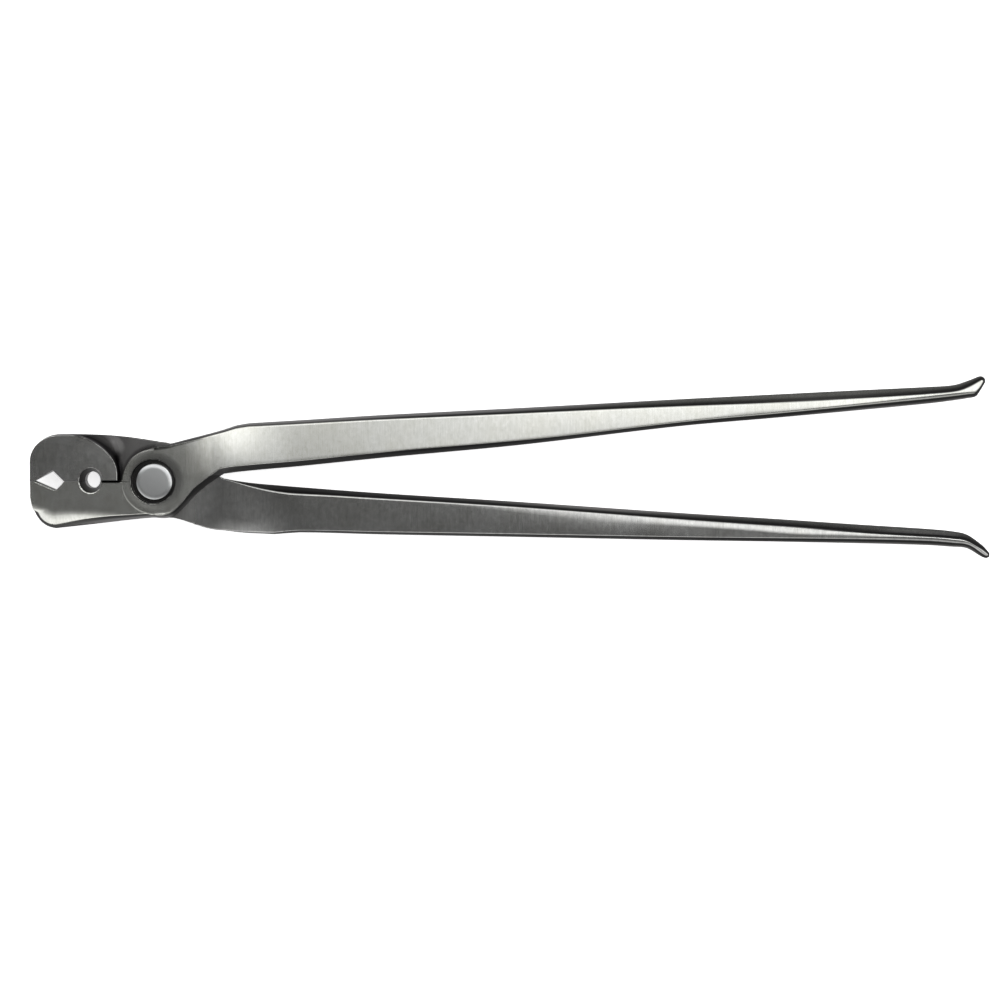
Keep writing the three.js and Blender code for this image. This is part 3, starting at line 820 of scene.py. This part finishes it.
def ground_steel(name, tone, skin_and_shade_tone):
    """Satin steel ground across the bar, with a darker forged skin on its sides that also carries painted
    shade, a painted highlight along the flash line, and painted shade with some dirt in hollows and along
    edges.
    """
    material, tree, shader = new_material(name)
    shader.inputs["Metallic"].default_value = 1.0
    skin_and_shade = attribute(tree, "skin_and_shade")
    lines = stretched_noise(tree, (2600, 140, 200), 2, 0.5)
    clouds = stretched_noise(tree, (90, 90, 90), 3, 0.55)
    mottle = stretched_noise(tree, (700, 500, 500), 4, 0.65)
    grain = stretched_noise(tree, (1500, 1500, 1500), 2, 0.6)
    warm = (0.96 * tone[0], 0.94 * tone[1], 0.88 * tone[2], 1)
    face = mix_colour(tree, clouds, warm, tint(tone, 1.07))
    face = mix_colour(tree, 0.09, face, ramp(tree, lines, [(0.3, 0.25), (0.7, 0.95)]), "OVERLAY")
    face = mix_colour(tree, 0.26, face, ramp(tree, mottle, [(0.3, 0.3), (0.7, 0.75)]), "OVERLAY")
    # The dark skin colour, which is also painted shade on the walls, made brighter along the flash line by a
    # painted highlight
    skin_and_shade_colour = mix_colour(tree, clouds, tint(skin_and_shade_tone, 0.85), tint(skin_and_shade_tone, 1.0))
    skin_and_shade_colour = mix_colour(tree, attribute(tree, "flash_and_highlight"), skin_and_shade_colour, tint(skin_and_shade_tone, FLASH_AND_HIGHLIGHT_GAIN))
    colour = mix_colour(tree, skin_and_shade, face, skin_and_shade_colour)
    # Painted shade, with some dirt, darkens the colour
    shade_and_dirt_amount = scalar(tree, "MULTIPLY", attribute(tree, "shade_and_dirt"), SHADE_AND_DIRT_SHARE)
    colour = mix_colour(tree, shade_and_dirt_amount, colour, SHADE_AND_DIRT_COLOUR)
    tree.links.new(colour, shader.inputs["Base Color"])
    rough = tree.nodes.new("ShaderNodeMix")
    rough.data_type = "FLOAT"
    tree.links.new(skin_and_shade, rough.inputs[0])
    tree.links.new(scaled(tree, clouds, 0.06, 0.16), rough.inputs[2])
    rough.inputs[3].default_value = FORGED_ROUGHNESS
    tree.links.new(rough.outputs[0], shader.inputs["Roughness"])
    fine = node(tree, "ShaderNodeBump", Strength=0.18, Distance=0.00002)
    tree.links.new(lines, fine.inputs["Height"])
    pebble = node(tree, "ShaderNodeBump", Distance=0.00003)
    tree.links.new(scalar(tree, "MULTIPLY", skin_and_shade, 0.5), pebble.inputs["Strength"])
    tree.links.new(grain, pebble.inputs["Height"])
    tree.links.new(fine.outputs["Normal"], pebble.inputs["Normal"])
    tree.links.new(pebble.outputs["Normal"], shader.inputs["Normal"])
    return material


def turned_steel(name, tone, roughness):
    """Plain satin steel with faint clouds."""
    material, tree, shader = new_material(name)
    shader.inputs["Metallic"].default_value = 1.0
    clouds = stretched_noise(tree, (160, 160, 160), 4, 0.6)
    grain = stretched_noise(tree, (2400, 2400, 2400), 2, 0.6)
    colour = mix_colour(tree, clouds, tint(tone, 0.9), tint(tone, 1.08))
    tree.links.new(colour, shader.inputs["Base Color"])
    shader.inputs["Roughness"].default_value = roughness
    bump = node(tree, "ShaderNodeBump", Strength=0.2, Distance=0.00002)
    tree.links.new(grain, bump.inputs["Height"])
    tree.links.new(bump.outputs["Normal"], shader.inputs["Normal"])
    return material


def paper_white():
    """A pale floor that glows a little, so that it takes almost no shadow."""
    material, _, shader = new_material("pale_floor")
    shader.inputs["Base Color"].default_value = (0.93, 0.93, 0.93, 1)
    shader.inputs["Roughness"].default_value = 0.9
    shader.inputs["Emission Color"].default_value = (1, 1, 1, 1)
    shader.inputs["Emission Strength"].default_value = 0.75
    return material


# ---------------------------------------------------------------- stage
def look_at(thing, target):
    """Turns a camera or a light to its target, with +Y up in its picture."""
    back = (thing.location - Vector(target)).normalized()
    right = Vector((0, 1, 0)).cross(back).normalized()
    thing.rotation_euler = Matrix((right, back.cross(right), back)).transposed().to_euler()


def make_camera():
    """Almost straight down on the tool, which fills the picture from side to side."""
    data = bpy.data.cameras.new("camera")
    camera = bpy.data.objects.new("camera", data)
    bpy.context.scene.collection.objects.link(camera)
    distance, tilt, width = 863.0, math.radians(2.7), 317.7
    target = Vector((109.07, -6.04, PARTING_Z))
    camera.location = (target + distance * Vector((0, math.sin(tilt), math.cos(tilt)))) * MM
    look_at(camera, target * MM)
    data.sensor_width = 36
    data.lens = 36 * distance / width
    data.clip_start = 0.01
    data.clip_end = 20
    bpy.context.scene.camera = camera


def make_light(name, place, target, size, power):
    data = bpy.data.lights.new(name, "AREA")
    data.shape = "RECTANGLE"
    data.size, data.size_y = size
    data.energy = power
    light = bpy.data.objects.new(name, data)
    bpy.context.scene.collection.objects.link(light)
    light.location = place
    look_at(light, target)


def make_world():
    """A soft sky: bright towards +Y, dim overhead towards -Y, and dark below the floor."""
    world = bpy.data.worlds.new("studio")
    bpy.context.scene.world = world
    world.use_nodes = True
    tree = world.node_tree
    direction = tree.nodes.new("ShaderNodeTexCoord").outputs["Generated"]
    side = tree.nodes.new("ShaderNodeVectorMath")
    side.operation = "DOT_PRODUCT"
    side.inputs[1].default_value = (0.21, 0.45, 0)
    tree.links.new(direction, side.inputs[0])
    across = scalar(tree, "ADD", side.outputs["Value"], 0.5)
    dim = [(0, 0.7), (0.07, 0.65), (0.21, 0.3), (0.345, 0.11), (0.45, 0.04), (0.48, 0.05)]
    bright = [(0.5, 0.17), (0.525, 0.46), (0.55, 0.72), (0.6, 0.92), (0.7, 0.8), (1, 0.45)]
    sky = ramp(tree, across, dim + bright)
    height = tree.nodes.new("ShaderNodeSeparateXYZ")
    tree.links.new(direction, height.inputs[0])
    from_below = scaled(tree, height.outputs["Z"], 1.0, 1.0)
    ground = ramp(tree, from_below, [(0, 0.25), (0.1, 0.18), (0.2, 0.08), (1, 0.06)])
    above = ramp(tree, scaled(tree, height.outputs["Z"], 1.0, 0.5), [(0.42, 0.0), (0.52, 1.0)])
    colour = mix_colour(tree, above, ground, sky)
    background = tree.nodes["Background"]
    tree.links.new(colour, background.inputs["Color"])
    background.inputs["Strength"].default_value = 2.0


def make_stage():
    reach = 3000.0
    corners = [(-reach, -reach, 0), (reach, -reach, 0), (reach, reach, 0), (-reach, reach, 0)]
    floor = make_object("floor", np.array(corners), [[0, 1, 2, 3]])
    floor.location.z = FLOOR_Z
    floor.data.materials.append(paper_white())
    floor.visible_glossy = False
    make_world()
    middle = (0.11, 0, 0)
    make_light("low_left", (-0.3, -0.75, 0.5), (-0.02, 0, 0), (0.6, 0.6), 0.15)
    make_light("upper_right", (0.55, 0.6, 0.5), middle, (0.3, 0.3), 1.0)
    bpy.context.scene.view_settings.view_transform = "Standard"


make_camera()

front = make_lever(FRONT)
front.data.materials.append(ground_steel("front_ground_steel", (0.6, 0.61, 0.59), (0.13, 0.128, 0.128)))
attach(front, "front_half")
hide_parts("front_lever")

rear = make_lever(REAR)
# The same steel as the front lever, with its tone lowered as painted shade
rear.data.materials.append(ground_steel("rear_ground_steel_painted_shade", (0.46, 0.465, 0.465), (0.13, 0.127, 0.125)))
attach(rear, "rear_half")
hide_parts("rear_lever")

rivet = make_rivet()
rivet.data.materials.append(turned_steel("rivet_satin_steel", (0.5, 0.51, 0.51), 0.3))
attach(rivet, "rear_half")
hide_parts("pivot_rivet")

washer = make_washer()
washer.data.materials.append(turned_steel("washer_satin_steel", (0.5, 0.5, 0.49), 0.35))
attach(washer, "rear_half")
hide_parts("rivet_washer")

make_stage()
